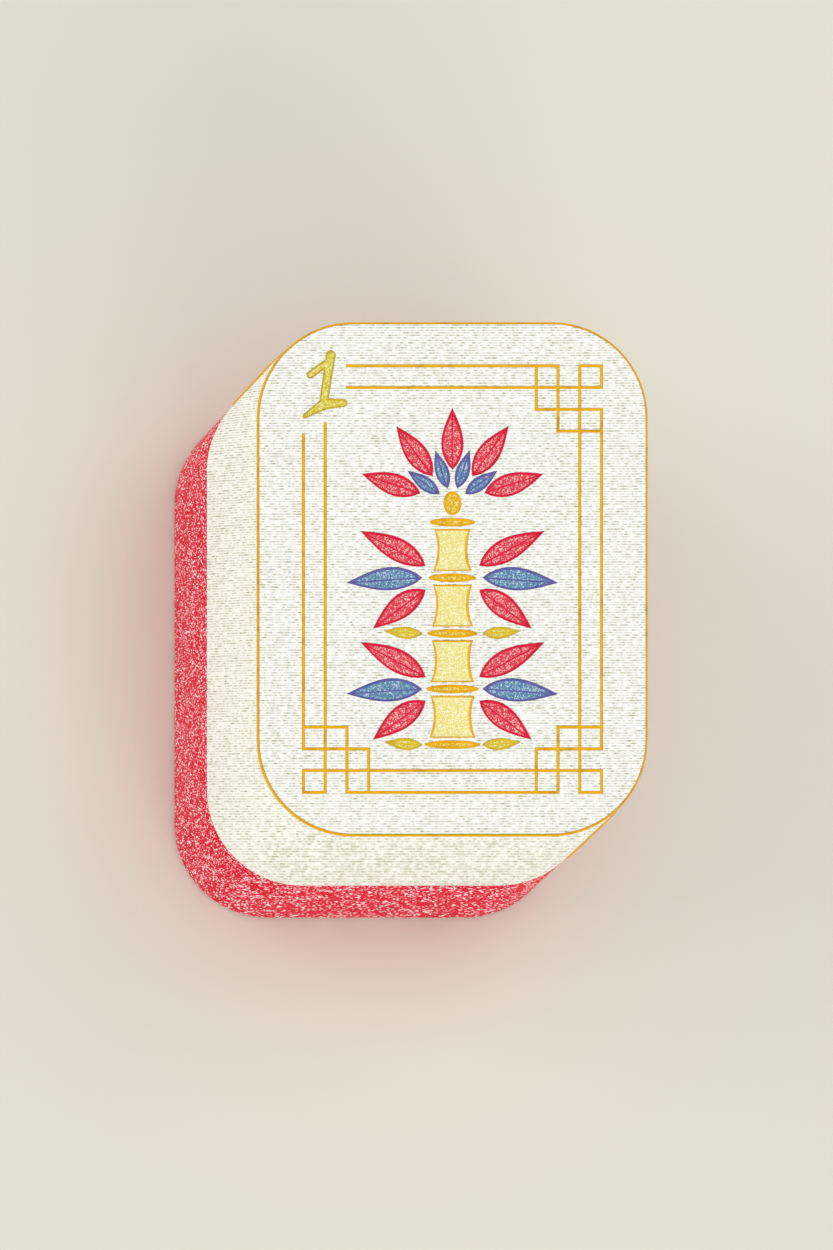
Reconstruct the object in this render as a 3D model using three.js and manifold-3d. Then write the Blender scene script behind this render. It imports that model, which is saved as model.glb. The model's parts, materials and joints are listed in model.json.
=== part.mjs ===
// A mahjong tile lying face up on its back. An engraved white face block is bonded to a red back
// block, and the engraving is filled with coloured paint. Millimetres, +Z up: the tile's width runs
// along X, its top edge is towards +Y, and the origin is under its centre.
import * as THREE from "three";
import { mergeVertices } from "three/addons/utils/BufferGeometryUtils.js";
import Module from "manifold-3d";

// Body
const TILE_WIDTH = 22.8;
const TILE_HEIGHT = 30;
const TILE_THICKNESS = 16;
const FACE_THICKNESS = 9.4;
const BOND_THICKNESS = 0.05;
const CORNER_RADIUS = 5.6;
const BACK_EDGE_RADIUS = 0.5;
const BOND_SETBACK = 0.02;

// Engraving, and the paint that fills it
const ENGRAVING_DEPTH = 0.4;
const PAINT_RECESS = 0.04;
const PAINT_CLEARANCE = 0.015;

// Gold line round the face's edge, and down two corners of the face block
const RIM_WIDTH = 0.12;
const RIM_DEPTH = 0.12;
const CORNER_LINE_RADIUS = 0.13;
const CORNER_LINE_TAPER = 2.5;

// Fret border: its insets are from the tile's edges to the middle of the outer line
const FRET_SIDE_INSET = 2.7;
const FRET_END_INSET = 2.55;
const FRET_PITCH = 1.27;
const FRET_LINE_WIDTH = 0.16;

// Numeral, how far its middle lies above the border's inner line, and how far the border's lines
// stop short of its side, its heel and its left toe
const NUMERAL_WIDTH = 2.6;
const NUMERAL_HEIGHT = 4;
const NUMERAL_RISE = 0.2;
const NUMERAL_OUTLINE = 0.08;
const NUMERAL_SIDE_GAP = 0;
const NUMERAL_HEEL_GAP = 0.3;
const NUMERAL_TOE_GAP = 0.95;

// Width of the numeral's fill at the ends of its strokes
const NUMERAL_FLAG_WIDTH = 0.26;
const NUMERAL_HEAD_WIDTH = 0.41;
const NUMERAL_HEEL_WIDTH = 0.34;
const NUMERAL_INSTEP_WIDTH = 0.5;
const NUMERAL_LEFT_TOE_WIDTH = 0.08;
const NUMERAL_RIGHT_TOE_WIDTH = 0.3;

// Ends of the numeral's strokes, as shares of half its width and half its height
const NUMERAL_FLAG = [-0.67, 0.27];
const NUMERAL_NECK = [0.07, 0.62];
const NUMERAL_HEAD = [0.25, 0.84];
const NUMERAL_HEEL = [-0.05, -0.45];
const NUMERAL_INSTEP = [-0.03, -0.58];
const NUMERAL_LEFT_TOE = [-0.92, -0.94];
const NUMERAL_RIGHT_TOE = [0.82, -0.55];

// Strokes of the numeral: the place and the width of each one's two ends
const NUMERAL_STROKES = [
  [NUMERAL_FLAG, NUMERAL_FLAG_WIDTH, NUMERAL_NECK, NUMERAL_FLAG_WIDTH],
  [NUMERAL_HEAD, NUMERAL_HEAD_WIDTH, NUMERAL_HEEL, NUMERAL_HEEL_WIDTH],
  [NUMERAL_INSTEP, NUMERAL_INSTEP_WIDTH, NUMERAL_LEFT_TOE, NUMERAL_LEFT_TOE_WIDTH],
  [NUMERAL_INSTEP, NUMERAL_INSTEP_WIDTH, NUMERAL_RIGHT_TOE, NUMERAL_RIGHT_TOE_WIDTH],
];

// Field left inside the border for the emblem
const FIELD_SIDE_MARGIN = 1.25;
const FIELD_END_MARGIN = 1.2;

// Emblem: a bamboo cane with leaf sprays, drawn at these sizes and then fitted to the field
const CANE_SEGMENTS = 4;
const CANE_BASE_WIDTH = 2.7;
const CANE_TOP_WIDTH = 2.1;
const CANE_WAIST = 0.22;
const CANE_SEGMENT_HEIGHT = 2.45;
const CANE_RING_HEIGHT = 0.5;
const CANE_RING_OVERHANG = 0.28;
const CANE_GAP = 0.16;
const BUD_WIDTH = 1.05;
const BUD_HEIGHT = 1.4;
const CROWN_LEAVES = 5;
const CROWN_SPACING = 36;
const CROWN_LEAF_START = 2;
const CROWN_LEAF_LENGTH = 3.6;
const CROWN_LEAF_WIDTH = 1.3;
const CROWN_LEAFLET_START = 0.95;
const CROWN_LEAFLET_LENGTH = 2.3;
const CROWN_LEAFLET_WIDTH = 0.8;
const SPRAY_SPACING = 32;
const SPRAY_CENTRE = 0.45;
const SPRAY_LEAF_START = 1.35;
const SPRAY_LEAF_WIDTH = 1.36;
const SPRAY_LEAF_DROOP = 0.3;
const SPRAY_TOP_LENGTH = 4.3;
const SPRAY_MIDDLE_LENGTH = 4.4;
const SPRAY_LOW_LENGTH = 3.8;
const SHOOT_LENGTH = 2.2;
const SHOOT_WIDTH = 0.7;
const SHOOT_LIFT = 0.15;
const LEAF_SKEW = 0.8;

// Leaves of a spray, from the top: each one's turn is counted in spacings up from level
const SPRAY_LEAVES = [
  { paint: "red", turn: 1, length: SPRAY_TOP_LENGTH },
  { paint: "blue", turn: 0, length: SPRAY_MIDDLE_LENGTH },
  { paint: "red", turn: -1, length: SPRAY_LOW_LENGTH },
];

// Rings of the cane, counted from the ground, that bear the sprays and the shoots
const SPRAY_RINGS = { lower: 1, upper: 3 };
const SHOOT_RINGS = { base: 0, middle: 2 };
const SIDES = { left: -1, right: 1 };

// Corners of the face block that carry a gold line
const LINED_CORNERS = { top_left: [-1, 1], bottom_right: [1, -1] };

// Fineness of round stretches
const CORNER_STEPS = 8;
const EDGE_STEPS = 3;
const BEAD_SIDES = 12;
const STROKE_END_STEPS = 5;
const OVAL_STEPS = 16;
const LEAF_STEPS = 12;
const SEGMENT_STEPS = 6;

// How far a cutting solid runs past the surface that it opens
const CUT_OVERRUN = 1;

const FACE_TOP = TILE_THICKNESS;
const FACE_BOTTOM = FACE_TOP - FACE_THICKNESS;
const BACK_THICKNESS = FACE_BOTTOM - BOND_THICKNESS;
const RIM_BOTTOM = FACE_TOP - RIM_DEPTH;
const ENGRAVED_FLOOR = FACE_TOP - ENGRAVING_DEPTH;
const PAINT_TOP = FACE_TOP - PAINT_RECESS;
const FRET_OUTER_X = TILE_WIDTH / 2 - FRET_SIDE_INSET;
const FRET_OUTER_Y = TILE_HEIGHT / 2 - FRET_END_INSET;
const FRET_INNER_X = FRET_OUTER_X - FRET_PITCH;
const FRET_INNER_Y = FRET_OUTER_Y - FRET_PITCH;
const NUMERAL_CENTRE = new THREE.Vector2(-FRET_INNER_X, FRET_INNER_Y + NUMERAL_RISE);

const MATERIALS = {
  white: new THREE.MeshStandardMaterial({ color: 0xf2f1ea, roughness: 0.55, metalness: 0 }),
  backRed: new THREE.MeshStandardMaterial({ color: 0xe46165, roughness: 0.55, metalness: 0 }),
  bond: new THREE.MeshStandardMaterial({ color: 0xead9c4, roughness: 0.4, metalness: 0 }),
  gold: new THREE.MeshStandardMaterial({ color: 0xf0a808, roughness: 0.45, metalness: 0 }),
  red: new THREE.MeshStandardMaterial({ color: 0xe25761, roughness: 0.5, metalness: 0 }),
  blue: new THREE.MeshStandardMaterial({ color: 0x4673af, roughness: 0.5, metalness: 0 }),
  cream: new THREE.MeshStandardMaterial({ color: 0xf1e7a9, roughness: 0.5, metalness: 0 }),
  amber: new THREE.MeshStandardMaterial({ color: 0xfacd4b, roughness: 0.5, metalness: 0 }),
  lime: new THREE.MeshStandardMaterial({ color: 0xd4cd3c, roughness: 0.5, metalness: 0 }),
};

const wasm = await Module();
wasm.setup();

// A closed geometry as a solid that can be cut and joined.
function toSolid(geometry) {
  const bare = geometry.clone();
  bare.deleteAttribute("normal");
  bare.deleteAttribute("uv");
  const merged = mergeVertices(bare);
  return new wasm.Manifold(new wasm.Mesh({
    numProp: 3,
    vertProperties: new Float32Array(merged.attributes.position.array),
    triVerts: new Uint32Array(merged.index.array),
  }));
}

function toGeometry(solid) {
  const mesh = solid.getMesh();
  const geometry = new THREE.BufferGeometry();
  geometry.setAttribute("position", new THREE.BufferAttribute(mesh.vertProperties, 3));
  geometry.setIndex(new THREE.BufferAttribute(mesh.triVerts, 1));
  geometry.computeVertexNormals();
  return geometry;
}

function join(solids) {
  return solids.reduce((whole, solid) => whole.add(solid));
}

function slab(shape, bottom, top, steps) {
  const depth = top - bottom;
  return new THREE.ExtrudeGeometry(shape, { depth, bevelEnabled: false, curveSegments: steps })
    .translate(0, 0, bottom);
}

// The tile's round-cornered outline, set in from its edge, or out from it if the inset is negative.
function tileOutline(inset) {
  const x = TILE_WIDTH / 2 - CORNER_RADIUS;
  const y = TILE_HEIGHT / 2 - CORNER_RADIUS;
  const radius = CORNER_RADIUS - inset;
  const quarter = Math.PI / 2;
  return new THREE.Shape()
    .absarc(x, y, radius, 0, quarter)
    .absarc(-x, y, radius, quarter, 2 * quarter)
    .absarc(-x, -y, radius, 2 * quarter, 3 * quarter)
    .absarc(x, -y, radius, 3 * quarter, 4 * quarter);
}

function tileRing(outerInset, innerInset, bottom, top) {
  const shape = tileOutline(outerInset);
  shape.holes.push(tileOutline(innerInset));
  return slab(shape, bottom, top, CORNER_STEPS);
}

// Red block with its underside's edge rounded: an outline rounded at both ends, cut off at the bond.
function backBlock() {
  const rounded = new THREE.ExtrudeGeometry(tileOutline(0), {
    depth: BACK_THICKNESS,
    bevelThickness: BACK_EDGE_RADIUS,
    bevelSize: BACK_EDGE_RADIUS,
    bevelOffset: -BACK_EDGE_RADIUS,
    bevelSegments: EDGE_STEPS,
    curveSegments: CORNER_STEPS,
  }).translate(0, 0, BACK_EDGE_RADIUS);
  const above = slab(
    tileOutline(-CUT_OVERRUN),
    BACK_THICKNESS,
    BACK_THICKNESS + 2 * BACK_EDGE_RADIUS + CUT_OVERRUN,
    CORNER_STEPS,
  );
  return toSolid(rounded).subtract(toSolid(above));
}

// Round bead centred on the middle of a corner, half sunk in the block and drawn out to a point under
// the gold line of the face, grown outwards by the same margin.
function cornerBead(signX, signY, grow, bottom) {
  const radius = CORNER_LINE_RADIUS + grow;
  const profile = [
    new THREE.Vector2(0, bottom),
    new THREE.Vector2(radius, bottom),
    new THREE.Vector2(radius, RIM_BOTTOM - CORNER_LINE_TAPER),
    new THREE.Vector2(0, RIM_BOTTOM + (grow * CORNER_LINE_TAPER) / CORNER_LINE_RADIUS),
  ];
  const reach = CORNER_RADIUS * (1 - Math.SQRT1_2);
  return new THREE.LatheGeometry(profile, BEAD_SIDES)
    .rotateX(Math.PI / 2)
    .translate(signX * (TILE_WIDTH / 2 - reach), signY * (TILE_HEIGHT / 2 - reach), 0);
}

// Middle lines of the border: a double line with a knot of crossing loops in every corner but the
// numeral's. A knot's own grid counts pitches in from its outer corner.
function fretPaths() {
  const knot = (signX, signY) => (column, row) => new THREE.Vector2(
    signX * (FRET_OUTER_X - column * FRET_PITCH),
    signY * (FRET_OUTER_Y - row * FRET_PITCH),
  );
  const topRight = knot(1, 1);
  const bottomRight = knot(1, -1);
  const bottomLeft = knot(-1, -1);
  const topStart = NUMERAL_CENTRE.x + NUMERAL_WIDTH / 2 + NUMERAL_SIDE_GAP;
  const numeralFoot = NUMERAL_CENTRE.y - NUMERAL_HEIGHT / 2;
  const paths = [
    [new THREE.Vector2(topStart, FRET_OUTER_Y), topRight(2, 0)],
    [new THREE.Vector2(topStart, FRET_INNER_Y), topRight(0, 1)],
    [topRight(0, 2), bottomRight(0, 2)],
    [topRight(1, 0), bottomRight(1, 0)],
    [bottomRight(2, 0), bottomLeft(2, 0)],
    [bottomRight(0, 1), bottomLeft(0, 1)],
    [bottomLeft(0, 2), new THREE.Vector2(-FRET_OUTER_X, numeralFoot - NUMERAL_TOE_GAP)],
    [bottomLeft(1, 0), new THREE.Vector2(-FRET_INNER_X, numeralFoot - NUMERAL_HEEL_GAP)],
  ];
  for (const at of [topRight, bottomRight, bottomLeft]) {
    paths.push([at(2, 0), at(2, 3), at(0, 3)]);
    paths.push([at(0, 2), at(3, 2), at(3, 0)]);
    paths.push([at(0, 1), at(0, 0), at(1, 0)]);
  }
  return paths;
}

// Square-ended strokes along the border's straight lines, joined cell by cell on the grid that all
// their edges make.
function fretSolid(grow, bottom, top) {
  const half = FRET_LINE_WIDTH / 2 + grow;
  const boxes = fretPaths().flatMap((path) => path.slice(1).map((end, i) => (
    new THREE.Box2().setFromPoints([path[i], end]).expandByScalar(half)
  )));
  const gridLines = (axis) => {
    const places = new Set(boxes.flatMap((box) => [box.min[axis], box.max[axis]]));
    return [...places].sort((a, b) => a - b);
  };
  const columns = gridLines("x");
  const rows = gridLines("y");
  const isFilled = (i, j) => {
    const middle = new THREE.Vector2((columns[i] + columns[i + 1]) / 2, (rows[j] + rows[j + 1]) / 2);
    return boxes.some((box) => box.containsPoint(middle));
  };

  const corners = [];
  const addQuad = (a, b, c, d) => corners.push(...a, ...b, ...c, ...a, ...c, ...d);
  const addWall = ([ax, ay], [bx, by]) => {
    addQuad([ax, ay, bottom], [bx, by, bottom], [bx, by, top], [ax, ay, top]);
  };
  const addCell = (i, j) => {
    const [left, right] = [columns[i], columns[i + 1]];
    const [low, high] = [rows[j], rows[j + 1]];
    addQuad([left, low, top], [right, low, top], [right, high, top], [left, high, top]);
    addQuad([left, high, bottom], [right, high, bottom], [right, low, bottom], [left, low, bottom]);
    if (!isFilled(i, j - 1)) addWall([left, low], [right, low]);
    if (!isFilled(i + 1, j)) addWall([right, low], [right, high]);
    if (!isFilled(i, j + 1)) addWall([right, high], [left, high]);
    if (!isFilled(i - 1, j)) addWall([left, high], [left, low]);
  };
  columns.forEach((_, i) => rows.forEach((__, j) => {
    if (isFilled(i, j)) addCell(i, j);
  }));
  const geometry = new THREE.BufferGeometry();
  geometry.setAttribute("position", new THREE.Float32BufferAttribute(corners, 3));
  return toSolid(geometry);
}

// Figure 1: a flag, a leaning stem and a foot, as round-ended strokes that change in width, grown
// outwards by the same margin.
function numeralSolid(grow, bottom, top) {
  const at = ([x, y]) => new THREE.Vector2(
    NUMERAL_CENTRE.x + (x * NUMERAL_WIDTH) / 2,
    NUMERAL_CENTRE.y + (y * NUMERAL_HEIGHT) / 2,
  );
  const strokes = NUMERAL_STROKES.map(([startPlace, startWidth, endPlace, endWidth]) => {
    const start = at(startPlace);
    const end = at(endPlace);
    const startRadius = startWidth / 2 + grow;
    const endRadius = endWidth / 2 + grow;
    const angle = end.clone().sub(start).angle();
    const spread = Math.acos((startRadius - endRadius) / start.distanceTo(end));
    const shape = new THREE.Shape()
      .absarc(end.x, end.y, endRadius, angle - spread, angle + spread)
      .absarc(start.x, start.y, startRadius, angle + spread, angle - spread + 2 * Math.PI);
    return slab(shape, bottom, top, STROKE_END_STEPS);
  });
  return join(strokes.map(toSolid));
}

function ovalPoints(centre, width, height, grow) {
  const curve = new THREE.EllipseCurve(centre.x, centre.y, width / 2 + grow, height / 2 + grow);
  return curve.getPoints(OVAL_STEPS).slice(0, -1);
}

// Pointed leaf that starts out from the origin along +X, widest before its middle, its tip bent aside.
function leafPoints(start, length, width, droop, grow) {
  const tipSlope = (Math.PI * LEAF_SKEW * width) / (2 * length);
  const overrun = (grow * Math.hypot(1, tipSlope)) / tipSlope;
  const edge = (side) => (step) => {
    const share = step / LEAF_STEPS;
    const x = start - overrun + (length + 2 * overrun) * share;
    const half = (width / 2 + grow) * Math.sin(Math.PI * share ** LEAF_SKEW);
    return new THREE.Vector2(x, side * half - droop * share ** 2);
  };
  const steps = [...Array(LEAF_STEPS).keys()];
  const upper = steps.map(edge(1));
  const lower = steps.map((step) => edge(-1)(LEAF_STEPS - step));
  return [...upper, ...lower];
}

function turned(points, centre, degrees, side) {
  const origin = new THREE.Vector2();
  const angle = THREE.MathUtils.degToRad(degrees);
  return points
    .map((point) => point.clone().rotateAround(origin, angle).add(centre))
    .map((point) => new THREE.Vector2(side * point.x, point.y));
}

// Cane segment, drawn in at its waist.
function segmentPoints(bottom, top, bottomWidth, topWidth, grow) {
  const middle = (bottom + top) / 2;
  const reach = (top - bottom) / 2 + grow;
  const edge = (side) => (step) => {
    const along = (2 * step) / SEGMENT_STEPS - 1;
    const width = THREE.MathUtils.lerp(bottomWidth, topWidth, (along + 1) / 2);
    const half = width / 2 - CANE_WAIST * (1 - along ** 2) + grow;
    return new THREE.Vector2(side * half, middle + reach * along);
  };
  const steps = [...Array(SEGMENT_STEPS + 1).keys()];
  return [...steps.map(edge(1)), ...steps.reverse().map(edge(-1))];
}

// The emblem's cells, in its own units and standing on y = 0, each grown outwards by the same margin.
function emblemCells(grow) {
  const cells = [];
  const cell = (name, paint, points) => cells.push({ name, paint, points });
  const ringPitch = CANE_SEGMENT_HEIGHT + CANE_RING_HEIGHT + 2 * CANE_GAP;
  const caneHeight = CANE_SEGMENTS * ringPitch;
  const caneWidth = (y) => THREE.MathUtils.lerp(CANE_BASE_WIDTH, CANE_TOP_WIDTH, y / caneHeight);

  for (let ring = 0; ring <= CANE_SEGMENTS; ring += 1) {
    const y = ring * ringPitch;
    const centre = new THREE.Vector2(0, y);
    const width = caneWidth(y) + 2 * CANE_RING_OVERHANG;
    cell(`cane_ring_${ring + 1}`, "amber", ovalPoints(centre, width, CANE_RING_HEIGHT, grow));
  }
  for (let segment = 0; segment < CANE_SEGMENTS; segment += 1) {
    const bottom = segment * ringPitch + CANE_RING_HEIGHT / 2 + CANE_GAP;
    const top = bottom + CANE_SEGMENT_HEIGHT;
    const points = segmentPoints(bottom, top, caneWidth(bottom), caneWidth(top), grow);
    cell(`cane_segment_${segment + 1}`, "cream", points);
  }

  const crown = new THREE.Vector2(0, caneHeight + CANE_RING_HEIGHT / 2 + CANE_GAP + BUD_HEIGHT / 2);
  cell("crown_bud", "amber", ovalPoints(crown, BUD_WIDTH, BUD_HEIGHT, grow));
  const firstAngle = 90 + (CROWN_SPACING * (CROWN_LEAVES - 1)) / 2;
  const leafShape = leafPoints(CROWN_LEAF_START, CROWN_LEAF_LENGTH, CROWN_LEAF_WIDTH, 0, grow);
  for (let leaf = 0; leaf < CROWN_LEAVES; leaf += 1) {
    const angle = firstAngle - leaf * CROWN_SPACING;
    cell(`crown_red_leaf_${leaf + 1}`, "red", turned(leafShape, crown, angle, 1));
  }
  const leafletShape = leafPoints(
    CROWN_LEAFLET_START,
    CROWN_LEAFLET_LENGTH,
    CROWN_LEAFLET_WIDTH,
    0,
    grow,
  );
  for (let leaflet = 0; leaflet < CROWN_LEAVES - 1; leaflet += 1) {
    const angle = firstAngle - (leaflet + 0.5) * CROWN_SPACING;
    cell(`crown_blue_leaf_${leaflet + 1}`, "blue", turned(leafletShape, crown, angle, 1));
  }

  const shootShape = leafPoints(SPRAY_LEAF_START, SHOOT_LENGTH, SHOOT_WIDTH, -SHOOT_LIFT, grow);
  for (const [sideName, side] of Object.entries(SIDES)) {
    for (const [level, ring] of Object.entries(SPRAY_RINGS)) {
      const centre = new THREE.Vector2(SPRAY_CENTRE, ring * ringPitch);
      SPRAY_LEAVES.forEach(({ paint, turn, length }, index) => {
        const shape = leafPoints(SPRAY_LEAF_START, length, SPRAY_LEAF_WIDTH, SPRAY_LEAF_DROOP, grow);
        const points = turned(shape, centre, turn * SPRAY_SPACING, side);
        cell(`${level}_${sideName}_${paint}_leaf_${index + 1}`, paint, points);
      });
    }
    for (const [level, ring] of Object.entries(SHOOT_RINGS)) {
      const centre = new THREE.Vector2(SPRAY_CENTRE, ring * ringPitch);
      cell(`${level}_${sideName}_shoot`, "lime", turned(shootShape, centre, 0, side));
    }
  }
  return cells;
}

// The emblem fitted to the field at its own proportions and centred on the face.
function emblemFit() {
  const box = new THREE.Box2().setFromPoints(emblemCells(0).flatMap((cell) => cell.points));
  const size = box.getSize(new THREE.Vector2());
  const centre = box.getCenter(new THREE.Vector2());
  const scale = Math.min(
    (2 * (FRET_INNER_X - FIELD_SIDE_MARGIN)) / size.x,
    (2 * (FRET_INNER_Y - FIELD_END_MARGIN)) / size.y,
  );
  return { scale, place: (point) => point.clone().sub(centre).multiplyScalar(scale) };
}

function cellSolid(cell, place, bottom, top) {
  return toSolid(slab(new THREE.Shape(cell.points.map(place)), bottom, top, 1));
}

const tile = new THREE.Group();

function addPiece(name, material, geometry) {
  const mesh = new THREE.Mesh(geometry, MATERIALS[material]);
  mesh.name = name;
  tile.add(mesh);
}

// Each engraved pocket is opened through the face and filled from its floor with paint.
const POCKET_TOP = FACE_TOP + CUT_OVERRUN;
const pockets = [];

function addPaint(name, material, paint, pocket) {
  addPiece(name, material, toGeometry(paint));
  pockets.push(pocket);
}

addPiece("back_block", "backRed", toGeometry(backBlock()));
addPiece("bond_film", "bond", slab(tileOutline(BOND_SETBACK), BACK_THICKNESS, FACE_BOTTOM, CORNER_STEPS));
addPiece("rim_line", "gold", tileRing(0, RIM_WIDTH, RIM_BOTTOM, FACE_TOP));
pockets.push(toSolid(tileRing(-CUT_OVERRUN, RIM_WIDTH + PAINT_CLEARANCE, RIM_BOTTOM, POCKET_TOP)));

for (const [corner, [signX, signY]] of Object.entries(LINED_CORNERS)) {
  const bead = cornerBead(signX, signY, 0, FACE_BOTTOM);
  addPiece(`corner_line_${corner}`, "gold", bead);
  pockets.push(toSolid(cornerBead(signX, signY, PAINT_CLEARANCE, FACE_BOTTOM - CUT_OVERRUN)));
}

addPaint(
  "fret_border",
  "gold",
  fretSolid(0, ENGRAVED_FLOOR, PAINT_TOP),
  fretSolid(PAINT_CLEARANCE, ENGRAVED_FLOOR, POCKET_TOP),
);

addPaint(
  "numeral_outline",
  "gold",
  numeralSolid(NUMERAL_OUTLINE, ENGRAVED_FLOOR, PAINT_TOP)
    .subtract(numeralSolid(PAINT_CLEARANCE, ENGRAVED_FLOOR - CUT_OVERRUN, POCKET_TOP)),
  numeralSolid(NUMERAL_OUTLINE + PAINT_CLEARANCE, ENGRAVED_FLOOR, POCKET_TOP),
);
addPiece("numeral_fill", "lime", toGeometry(numeralSolid(0, ENGRAVED_FLOOR, PAINT_TOP)));

const emblem = emblemFit();
const emblemPockets = emblemCells(PAINT_CLEARANCE / emblem.scale);
emblemCells(0).forEach((cell, index) => {
  addPaint(
    cell.name,
    cell.paint,
    cellSolid(cell, emblem.place, ENGRAVED_FLOOR, PAINT_TOP),
    cellSolid(emblemPockets[index], emblem.place, ENGRAVED_FLOOR, POCKET_TOP),
  );
});

const faceBlank = toSolid(slab(tileOutline(0), FACE_BOTTOM, FACE_TOP, CORNER_STEPS));
const faceBlock = pockets.reduce((block, pocket) => block.subtract(pocket), faceBlank);
addPiece("face_block", "white", toGeometry(faceBlock));

export default tile;
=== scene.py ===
"""Looks of the mahjong tile: its blocks, gold lines and painted cells, on a plain pale floor."""
import json
import math

import bmesh
import bpy
from mathutils import Color, Matrix, Vector


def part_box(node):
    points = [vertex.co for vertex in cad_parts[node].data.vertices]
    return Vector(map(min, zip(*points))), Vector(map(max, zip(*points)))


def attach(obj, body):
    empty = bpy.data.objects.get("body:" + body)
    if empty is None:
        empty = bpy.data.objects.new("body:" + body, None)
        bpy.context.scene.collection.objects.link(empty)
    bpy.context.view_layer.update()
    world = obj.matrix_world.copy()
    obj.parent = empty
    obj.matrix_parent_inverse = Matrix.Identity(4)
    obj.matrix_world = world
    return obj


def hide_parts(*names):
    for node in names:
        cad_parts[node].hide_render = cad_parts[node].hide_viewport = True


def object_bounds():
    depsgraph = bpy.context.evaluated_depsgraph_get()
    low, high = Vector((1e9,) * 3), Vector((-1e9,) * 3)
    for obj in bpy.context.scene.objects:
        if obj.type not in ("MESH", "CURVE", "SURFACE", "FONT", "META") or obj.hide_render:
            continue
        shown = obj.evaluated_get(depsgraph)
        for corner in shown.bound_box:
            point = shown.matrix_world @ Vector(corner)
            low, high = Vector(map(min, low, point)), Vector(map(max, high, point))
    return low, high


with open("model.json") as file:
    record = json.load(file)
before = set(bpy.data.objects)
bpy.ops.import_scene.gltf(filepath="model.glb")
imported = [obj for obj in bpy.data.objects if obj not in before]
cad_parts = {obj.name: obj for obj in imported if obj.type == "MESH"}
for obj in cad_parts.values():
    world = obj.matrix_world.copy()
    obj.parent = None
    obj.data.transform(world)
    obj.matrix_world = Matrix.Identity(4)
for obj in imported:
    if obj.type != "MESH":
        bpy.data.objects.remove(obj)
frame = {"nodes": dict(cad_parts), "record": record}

cad_low, cad_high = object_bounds()
MM = 0.001

# Photograph, in its own pixels: the face's outline and the red back's outer edges
PHOTO_WIDTH = 833
PHOTO_HEIGHT = 1250
FACE_LEFT = 257
FACE_RIGHT = 648
FACE_TOP = 322
FACE_BOTTOM = 836
BACK_LEFT = 172
BACK_BOTTOM = 920

# Camera
LENS_MM = 600
SENSOR_MM = 36
NEAR_CLIP = 0.01
FAR_CLIP = 20

# Stage and light; an azimuth of 0 is from the front, 90 from the right. The two keys stand so far
# apart that the left wall, the front wall and the corner between them are lit alike.
FLOOR_RADIUS = 6
FLOOR_SIDES = 96
FLOOR_COLOUR = (225, 222, 208)
SKY_STRENGTH = 0.72
KEY_ELEVATION = 16
LEFT_KEY_STRENGTH = 1.2
LEFT_KEY_AZIMUTH = -105
FRONT_KEY_STRENGTH = 1.35
FRONT_KEY_AZIMUTH = 15
FILL_STRENGTH = 0.4
FILL_AZIMUTH = 130
FILL_ELEVATION = 40
LIGHT_SPREAD = 50

# Small roundings of edges, angles in degrees, and the length below which two places are one
BLOCK_EDGE = 0.04 * MM
RIM_EDGE = 0.05 * MM
EDGE_SEGMENTS = 3
ROUND_PROFILE = 0.5
SQUARE_ANGLE = 60
SMOOTH_ANGLE = 30
FLAT_ANGLE = 0.2
HAIR = 0.001 * MM

# Paint in an engraved cell: the outline's width, and how far the fill sinks inside it
OUTLINE_WIDTH = 0.14 * MM
FILL_DROP = 0.02 * MM
MIDRIB_WIDTH = 0.09 * MM

# Surfaces
SPECULAR_LEVEL = 0.12
RESIN_ROUGHNESS = 0.5
PAINT_ROUGHNESS = 0.5
LINE_ROUGHNESS = 0.45
FLOOR_ROUGHNESS = 0.9
RELIEF_STRENGTH = 0.5

# Grain: it slants down through the tile towards the right and the rear, and changes slowly on the way
GRAIN_SLANT = 0.31
GRAIN_CHANGE = 0.3
GRAIN_ACROSS = (1, 0, GRAIN_SLANT)
GRAIN_UP = (0, 1, GRAIN_SLANT)
GRAIN_DOWN = (0, 0, GRAIN_CHANGE)
END_WALLS = (0, 1, 0)

# Threads in the white, in millimetres: rows of dashes, no two rows alike. On the end walls, where the
# slant stretches the rows, each splits into strands.
THREAD_PITCH = 0.147
DASH_LENGTH = 0.28
DASH_NOISE = {"scale": 1, "detail": 2, "roughness": 0.6}
DASH_RANGE = (0.25, 0.98)
PATCH_NOISE = {"scale": 0.8, "detail": 1, "roughness": 0.5}
PATCH_SHARE = 0.03
ROW_SHIFT = 7.31
STRANDS = 3
STRAND_GAIN = 2
STRAND_WALLS = (0.7, 0.95)
THREAD_STOPS = [(0, (254, 254, 251)), (0.8, (134, 136, 40))]
THREAD_RELIEF = 0.006 * MM

# Crayon: small specks and broad smears make its tone, and its dark, middle and light colours lie at
# these tones. On the red's end walls it is drawn out across and pressed together upwards.
SPECKS_PER_MM = 17
SPECK_SHARE = 0.8
SMEAR_NOISE = {"scale": 1.2, "detail": 4, "roughness": 0.75}
SMEAR_SHARE = 0.2
CRAYON_TONES = (0.552, 0.632, 0.752)
CRAYON_RELIEF = 0.008 * MM
STROKE_ACROSS = 0.45
STROKE_UP = 1.3
STROKE_WALLS = (0.78, 0.84)

# Drawn lines: the tones at which the paint is thin and at which it has pooled
POOL_NOISE = {"scale": 1.4, "detail": 2, "roughness": 0.6}
POOL_TONES = (0.5, 0.8)
LINE_RELIEF = 0.004 * MM


def linear(colour):
    """An sRGB colour in 0 to 255 as a linear RGBA value."""
    return (*Color([channel / 255 for channel in colour]).from_srgb_to_scene_linear(), 1)


def new_object(name, data):
    piece = bpy.data.objects.new(name, data)
    bpy.context.scene.collection.objects.link(piece)
    return piece


# Materials

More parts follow.
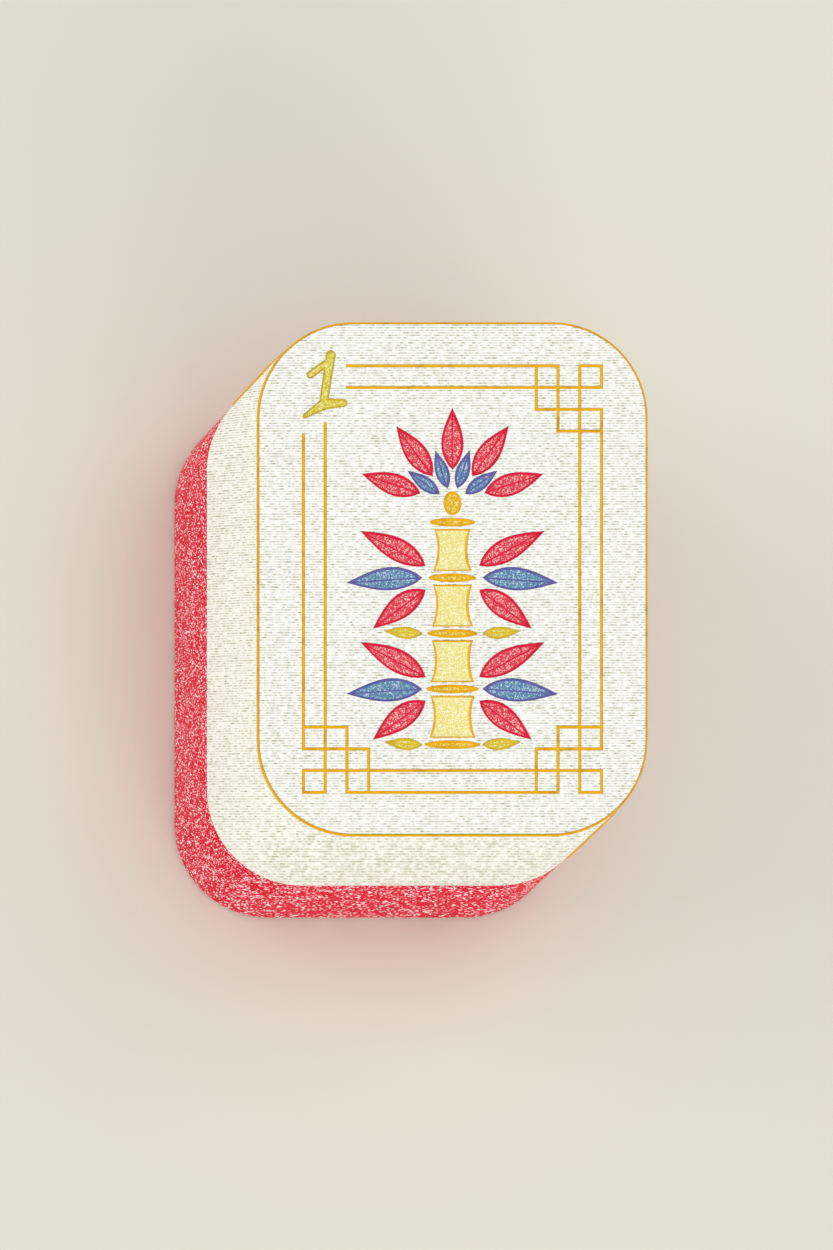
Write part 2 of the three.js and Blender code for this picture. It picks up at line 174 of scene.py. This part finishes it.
class Nodes:
    """A node tree with short calls for adding and joining nodes."""

    def __init__(self, tree):
        self.tree = tree

    def add(self, kind, inputs=None, **settings):
        node = self.tree.nodes.new(kind)
        for setting, value in settings.items():
            setattr(node, setting, value)
        for key, value in (inputs or {}).items():
            if isinstance(value, bpy.types.NodeSocket):
                self.tree.links.new(value, node.inputs[key])
            else:
                node.inputs[key].default_value = value
        return node

    def math(self, operation, first, second=0):
        return self.add("ShaderNodeMath", {0: first, 1: second}, operation=operation).outputs[0]

    def dot(self, vector, row):
        node = self.add("ShaderNodeVectorMath", {0: vector, 1: row}, operation="DOT_PRODUCT")
        return node.outputs["Value"]

    def rescale(self, value, low, high):
        inputs = {"Value": value, "From Min": low, "From Max": high}
        return self.add("ShaderNodeMapRange", inputs, interpolation_type="SMOOTHSTEP").outputs["Result"]

    def vector(self, place):
        return self.add("ShaderNodeCombineXYZ", dict(enumerate(place))).outputs["Vector"]

    def noise(self, place, scale, detail, roughness):
        inputs = {
            "Vector": self.vector(place),
            "Scale": scale,
            "Detail": detail,
            "Roughness": roughness,
        }
        return self.add("ShaderNodeTexNoise", inputs).outputs["Fac"]

    def specks(self, place, scale):
        """A chance shade for each of many small specks."""
        inputs = {"Vector": self.vector(place), "Scale": scale}
        return self.add("ShaderNodeTexVoronoi", inputs).outputs["Color"]

    def ramp(self, value, stops):
        node = self.add("ShaderNodeValToRGB", {"Fac": value})
        elements = node.color_ramp.elements
        while len(elements) < len(stops):
            elements.new(1)
        for element, (position, colour) in zip(elements, stops):
            element.position = position
            element.color = linear(colour)
        return node.outputs["Color"]

    def grain_place(self):
        """Place in the grain, in millimetres across, up and down through it."""
        position = self.add("ShaderNodeTexCoord").outputs["Object"]
        directions = (GRAIN_ACROSS, GRAIN_UP, GRAIN_DOWN)
        return [self.dot(position, [share / MM for share in direction]) for direction in directions]

    def facing(self, direction, low, high):
        """How far the surface faces along a direction or against it: 0 below low, 1 above high."""
        normal = self.add("ShaderNodeTexCoord").outputs["Normal"]
        return self.rescale(self.math("ABSOLUTE", self.dot(normal, direction)), low, high)

    def blend(self, share, first, second):
        return self.add("ShaderNodeMix", {0: share, 2: first, 3: second}, data_type="FLOAT").outputs[0]


def new_material(name, roughness):
    material = bpy.data.materials.new(name)
    material.use_nodes = True
    shader = material.node_tree.nodes["Principled BSDF"]
    shader.inputs["Roughness"].default_value = roughness
    shader.inputs["Specular IOR Level"].default_value = SPECULAR_LEVEL
    return material, Nodes(material.node_tree), shader


def finish_surface(nodes, shader, colour, height, depth):
    """Joins colour and relief to the shader."""
    nodes.tree.links.new(colour, shader.inputs["Base Color"])
    relief = {"Height": height, "Strength": RELIEF_STRENGTH, "Distance": depth}
    bump = nodes.add("ShaderNodeBump", relief)
    nodes.tree.links.new(bump.outputs["Normal"], shader.inputs["Normal"])


def white_resin():
    """Ivory white with rows of short olive dashes, like the threads of a coarse weave."""
    material, nodes, shader = new_material("white_resin", RESIN_ROUGHNESS)
    across, up, down = nodes.grain_place()
    row_place = nodes.math("DIVIDE", up, THREAD_PITCH)
    row = nodes.math("FLOOR", row_place)
    turn = nodes.math("MULTIPLY", nodes.math("FRACT", row_place), math.pi)
    crest = nodes.math("SINE", turn)
    strand = nodes.math("SINE", nodes.math("MULTIPLY", turn, STRANDS))
    whole_row = nodes.math("MULTIPLY", crest, crest)
    strands = nodes.math("MULTIPLY", strand, strand)
    split_row = nodes.math("MULTIPLY", nodes.math("MULTIPLY", crest, STRAND_GAIN), strands)
    line = nodes.blend(nodes.facing(END_WALLS, *STRAND_WALLS), whole_row, split_row)
    dash_place = (
        nodes.math("DIVIDE", across, DASH_LENGTH),
        nodes.math("MULTIPLY", row, ROW_SHIFT),
        nodes.math("DIVIDE", down, DASH_LENGTH),
    )
    dash = nodes.noise(dash_place, **DASH_NOISE)
    patch = nodes.math("MULTIPLY", nodes.noise((across, up, down), **PATCH_NOISE), PATCH_SHARE)
    mask = nodes.math("MULTIPLY", line, nodes.rescale(nodes.math("ADD", dash, patch), *DASH_RANGE))
    colour = nodes.ramp(mask, THREAD_STOPS)
    finish_surface(nodes, shader, colour, nodes.math("SUBTRACT", 1, mask), THREAD_RELIEF)
    return material


def crayon_tone(nodes, place):
    """Uneven tone of colour laid on by a soft crayon."""
    specks = nodes.math("MULTIPLY", nodes.specks(place, SPECKS_PER_MM), SPECK_SHARE)
    smears = nodes.math("MULTIPLY", nodes.noise(place, **SMEAR_NOISE), SMEAR_SHARE)
    return nodes.math("ADD", specks, smears)


def crayon_colour(nodes, tone, dark, middle, light):
    return nodes.ramp(tone, list(zip(CRAYON_TONES, (dark, middle, light))))


def red_resin():
    """Grained red, its grain drawn out into strokes along the end walls."""
    material, nodes, shader = new_material("red_resin", RESIN_ROUGHNESS)
    across, up, down = nodes.grain_place()
    stroke_place = (
        nodes.math("MULTIPLY", across, STROKE_ACROSS),
        nodes.math("MULTIPLY", up, STROKE_UP),
        down,
    )
    grain = crayon_tone(nodes, (across, up, down))
    strokes = crayon_tone(nodes, stroke_place)
    tone = nodes.blend(nodes.facing(END_WALLS, *STROKE_WALLS), grain, strokes)
    colour = crayon_colour(nodes, tone, (216, 0, 46), (221, 10, 52), (255, 232, 232))
    finish_surface(nodes, shader, colour, tone, CRAYON_RELIEF)
    return material


def crayon_paint(name, dark, middle, light):
    material, nodes, shader = new_material(name, PAINT_ROUGHNESS)
    tone = crayon_tone(nodes, nodes.grain_place())
    finish_surface(nodes, shader, crayon_colour(nodes, tone, dark, middle, light), tone, CRAYON_RELIEF)
    return material


def line_paint(name, thin, pooled):
    """A drawn line: clear colour, darker where the paint has pooled."""
    material, nodes, shader = new_material(name, LINE_ROUGHNESS)
    pools = nodes.noise(nodes.grain_place(), **POOL_NOISE)
    colour = nodes.ramp(pools, list(zip(POOL_TONES, (thin, pooled))))
    finish_surface(nodes, shader, colour, pools, LINE_RELIEF)
    return material


MATERIALS = {
    "white_plastic": white_resin(),
    "red_plastic": red_resin(),
    "bond": line_paint("bond_cement", (236, 178, 170), (228, 140, 138)),
    "gold_paint": line_paint("gold_line", (241, 180, 0), (203, 144, 0)),
    "red_paint": crayon_paint("red_paint", (220, 58, 76), (234, 116, 120), (254, 204, 196)),
    "blue_paint": crayon_paint("blue_paint", (86, 132, 166), (138, 170, 196), (196, 218, 230)),
    "cream_paint": crayon_paint("cream_paint", (236, 222, 134), (250, 241, 176), (255, 252, 222)),
    "amber_paint": crayon_paint("amber_paint", (220, 174, 28), (244, 210, 92), (255, 234, 156)),
    "lime_paint": crayon_paint("lime_paint", (211, 194, 58), (232, 219, 112), (250, 243, 182)),
}
OUTLINES = {
    "red_paint": line_paint("red_outline", (222, 24, 62), (196, 12, 48)),
    "blue_paint": line_paint("blue_outline", (100, 98, 164), (70, 78, 142)),
    "cream_paint": MATERIALS["gold_paint"],
    "amber_paint": MATERIALS["gold_paint"],
    "lime_paint": line_paint("lime_outline", (220, 188, 44), (196, 160, 24)),
}
# The same gold paint, darkened as painted shade, for the rim and corner lines along the tile's edges.
EDGE_SHADED_GOLD = line_paint("edge_shaded_gold_line", (230, 168, 0), (192, 134, 0))


# Pieces made from the solids

slot_of = {part["node"]: part["material_slot"] for part in frame["record"]["subparts"]}
face_low, face_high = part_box("face_block")
back_low, back_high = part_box("back_block")


def cad_shape(node):
    """A copy of the node's solid with its split corners joined."""
    shape = bmesh.new()
    shape.from_mesh(frame["nodes"][node].data)
    bmesh.ops.remove_doubles(shape, verts=shape.verts, dist=HAIR / 2)
    return shape


def merge_flats(shape):
    """Makes each flat area one face."""
    bmesh.ops.dissolve_limit(
        shape,
        angle_limit=math.radians(FLAT_ANGLE),
        verts=shape.verts,
        edges=shape.edges,
        delimit={"NORMAL"},
    )


def replace_node(node, shape, materials, smooth):
    """Turns the shape into the piece that stands for the node."""
    mesh = bpy.data.meshes.new(node + "_finished")
    shape.to_mesh(mesh)
    shape.free()
    mesh.attributes.remove(mesh.attributes["custom_normal"])
    for material in materials:
        mesh.materials.append(material)
    mesh.polygons.foreach_set("use_smooth", [smooth] * len(mesh.polygons))
    mesh.set_sharp_from_angle(angle=math.radians(SMOOTH_ANGLE))
    piece = new_object(node + "_finished", mesh)
    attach(piece, "root")
    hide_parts(node)


def round_edges(shape, height, width):
    """Rounds the shape's square edges that lie at one height."""
    edges = [
        edge
        for edge in shape.edges
        if edge.is_manifold
        and edge.calc_face_angle() > math.radians(SQUARE_ANGLE)
        and all(abs(vertex.co.z - height) < HAIR for vertex in edge.verts)
    ]
    bmesh.ops.bevel(
        shape,
        geom=edges,
        offset=width,
        segments=EDGE_SEGMENTS,
        profile=ROUND_PROFILE,
        affect="EDGES",
        clamp_overlap=True,
    )


def clip(points, place, inward):
    """The part of a convex outline on one side of a line."""
    kept = []
    for index, point in enumerate(points):
        before = points[index - 1]
        depth_before = (before - place).dot(inward)
        depth = (point - place).dot(inward)
        if (depth_before < 0) != (depth < 0):
            kept.append(before.lerp(point, depth_before / (depth_before - depth)))
        if depth >= 0:
            kept.append(point)
    return kept


def draw_in(outline, width):
    """A convex outline, counter-clockwise, drawn in by the same width all round."""
    inner = outline
    for index, end in enumerate(outline):
        start = outline[index - 1]
        inward = Vector((0, 0, 1)).cross(end - start).normalized()
        inner = clip(inner, start + inward * width, inward)
    return [point for index, point in enumerate(inner) if (point - inner[index - 1]).length > HAIR]


def add_fill(shape, top):
    """Swaps a convex top face for a sunk fill inside a sloping outline, and returns the fill."""
    outline = [vertex.co.copy() for vertex in top.verts]
    drop = Vector((0, 0, FILL_DROP))
    fill = shape.faces.new([shape.verts.new(point - drop) for point in draw_in(outline, OUTLINE_WIDTH)])
    rim = list(top.edges)
    bmesh.ops.delete(shape, geom=[top], context="FACES_ONLY")
    ring = bmesh.ops.triangle_fill(shape, use_beauty=True, edges=rim + list(fill.edges))
    for part in ring["geom"]:
        if isinstance(part, bmesh.types.BMFace):
            part.material_index = 1
    return fill


def add_midrib(shape, fill):
    """Draws a leaf's midrib as a narrow strip between the leaf's two points."""
    corners = [vertex.co.copy() for vertex in fill.verts]
    pairs = [(first, second) for first in corners for second in corners]
    base, tip = max(pairs, key=lambda pair: (pair[0] - pair[1]).length)
    side = (tip - base).cross(Vector((0, 0, 1))).normalized()
    level = base.z
    parts = [fill]
    for offset in (-MIDRIB_WIDTH / 2, MIDRIB_WIDTH / 2):
        edges = {edge for part in parts for edge in part.edges}
        corners = {corner for part in parts for corner in part.verts}
        bmesh.ops.bisect_plane(
            shape,
            geom=[*parts, *edges, *corners],
            dist=HAIR / 100,
            plane_co=base + side * offset,
            plane_no=side,
        )
        parts = [
            face
            for face in shape.faces
            if all(abs(corner.co.z - level) < HAIR for corner in face.verts)
        ]
    for part in parts:
        if abs((part.calc_center_median() - base).dot(side)) < MIDRIB_WIDTH / 2:
            part.material_index = 1


def finish_cell(node):
    """Paint in an engraved cell: a drawn outline round a fill that lies a little lower."""
    shape = cad_shape(node)
    merge_flats(shape)
    top = max(shape.faces, key=lambda face: face.calc_center_median().z)
    if node.startswith("cane_segment"):
        # Its waisted outline isn't convex, and has no sharp points that a plain inset would spoil
        ring = bmesh.ops.inset_individual(shape, faces=[top], thickness=OUTLINE_WIDTH, depth=-FILL_DROP)
        for face in ring["faces"]:
            face.material_index = 1
    else:
        fill = add_fill(shape, top)
        if "leaf" in node or "shoot" in node:
            add_midrib(shape, fill)
    bmesh.ops.recalc_face_normals(shape, faces=shape.faces)
    slot = slot_of[node]
    replace_node(node, shape, [MATERIALS[slot], OUTLINES[slot]], False)


PLAIN_NODES = {
    "bond_film": MATERIALS["bond"],
    "fret_border": MATERIALS["gold_paint"],
    "numeral_outline": OUTLINES["lime_paint"],
    "numeral_fill": MATERIALS["lime_paint"],
}
for node, material in PLAIN_NODES.items():
    mesh = frame["nodes"][node].data
    mesh.materials.clear()
    mesh.materials.append(material)

face = cad_shape("face_block")
round_edges(face, face_low.z, BLOCK_EDGE)
replace_node("face_block", face, [MATERIALS["white_plastic"]], True)

back = cad_shape("back_block")
merge_flats(back)
round_edges(back, back_high.z, BLOCK_EDGE)
replace_node("back_block", back, [MATERIALS["red_plastic"]], True)

# The rim and corner lines take the darkened gold: painted shade along the tile's edges.
rim = cad_shape("rim_line")
merge_flats(rim)
round_edges(rim, face_high.z, RIM_EDGE)
replace_node("rim_line", rim, [EDGE_SHADED_GOLD], True)

for node in ("corner_line_top_left", "corner_line_bottom_right"):
    replace_node(node, cad_shape(node), [EDGE_SHADED_GOLD], True)

for node, slot in slot_of.items():
    if slot in OUTLINES and node not in PLAIN_NODES:
        finish_cell(node)


# Camera: the photograph shows the face square on and two walls with it, as a view camera with its
# back parallel to the face does, so the line of sight is skewed from the picture's plane.
def add_camera():
    pixel = (face_high.y - face_low.y) / (FACE_BOTTOM - FACE_TOP)
    depth = face_high.z - back_low.z
    centre = Vector((
        (PHOTO_WIDTH - FACE_LEFT - FACE_RIGHT) / 2 * pixel,
        (FACE_TOP + FACE_BOTTOM - PHOTO_HEIGHT) / 2 * pixel,
        face_high.z,
    ))
    distance = LENS_MM / SENSOR_MM * PHOTO_HEIGHT * pixel
    # Slants without perspective, which give the camera's height above the face
    slant_x = (FACE_LEFT - BACK_LEFT) * pixel / depth
    slant_y = (BACK_BOTTOM - FACE_BOTTOM) * pixel / depth
    height = distance / math.hypot(1, slant_x, slant_y)
    # Slants with it: the underside is farther off than the face, so it is drawn a little smaller
    shrinkage = height / (height + depth)
    slant_x = ((PHOTO_WIDTH / 2 - BACK_LEFT) * pixel / shrinkage + back_low.x - centre.x) / depth
    slant_y = ((BACK_BOTTOM - PHOTO_HEIGHT / 2) * pixel / shrinkage + back_low.y - centre.y) / depth
    sight = Vector((-slant_x, -slant_y, 1)).normalized()

    data = bpy.data.cameras.new("camera")
    data.lens = LENS_MM
    data.sensor_width = SENSOR_MM
    data.clip_start = NEAR_CLIP
    data.clip_end = FAR_CLIP
    camera = new_object("camera", data)
    camera.parent = new_object("camera_rig", None)
    skew = Matrix.Identity(4)
    skew.col[2] = (*sight, 0)
    skew.col[3] = (*(centre + sight * distance), 1)
    camera.matrix_parent_inverse = skew
    bpy.context.scene.camera = camera


# Stage and light

def add_floor():
    shape = bmesh.new()
    bmesh.ops.create_circle(shape, cap_ends=True, segments=FLOOR_SIDES, radius=FLOOR_RADIUS)
    mesh = bpy.data.meshes.new("floor")
    shape.to_mesh(mesh)
    shape.free()
    material, _, shader = new_material("floor", FLOOR_ROUGHNESS)
    shader.inputs["Base Color"].default_value = linear(FLOOR_COLOUR)
    shader.inputs["Specular IOR Level"].default_value = 0
    mesh.materials.append(material)
    floor = new_object("floor", mesh)
    floor.location.z = cad_low.z


def add_soft_light(name, azimuth, elevation, strength):
    """Wide, distant light towards the tile."""
    turn, tilt = math.radians(azimuth), math.radians(elevation)
    source = Vector((math.sin(turn) * math.cos(tilt), -math.cos(turn) * math.cos(tilt), math.sin(tilt)))
    data = bpy.data.lights.new(name, "SUN")
    data.energy = strength
    data.angle = math.radians(LIGHT_SPREAD)
    light = new_object(name, data)
    light.rotation_mode = "QUATERNION"
    light.rotation_quaternion = source.to_track_quat("Z", "Y")


def add_sky():
    """White light from all round; looked at, it has the floor's colour."""
    world = bpy.data.worlds.new("sky")
    bpy.context.scene.world = world
    world.use_nodes = True
    nodes = Nodes(world.node_tree)
    glow = world.node_tree.nodes["Background"]
    glow.inputs["Color"].default_value = (1, 1, 1, 1)
    glow.inputs["Strength"].default_value = SKY_STRENGTH
    seen = nodes.add("ShaderNodeBackground", {"Color": linear(FLOOR_COLOUR)})
    path = nodes.add("ShaderNodeLightPath")
    looked_at = nodes.math("MAXIMUM", path.outputs["Is Camera Ray"], path.outputs["Is Glossy Ray"])
    looked_at = nodes.math("MAXIMUM", looked_at, path.outputs["Is Transmission Ray"])
    shown = nodes.add("ShaderNodeMixShader", {0: looked_at, 1: glow.outputs[0], 2: seen.outputs[0]})
    world.node_tree.links.new(shown.outputs[0], world.node_tree.nodes["World Output"].inputs["Surface"])


add_camera()
add_floor()
add_soft_light("left_key", LEFT_KEY_AZIMUTH, KEY_ELEVATION, LEFT_KEY_STRENGTH)
add_soft_light("front_key", FRONT_KEY_AZIMUTH, KEY_ELEVATION, FRONT_KEY_STRENGTH)
add_soft_light("fill", FILL_AZIMUTH, FILL_ELEVATION, FILL_STRENGTH)
add_sky()
bpy.context.scene.view_settings.view_transform = "Standard"
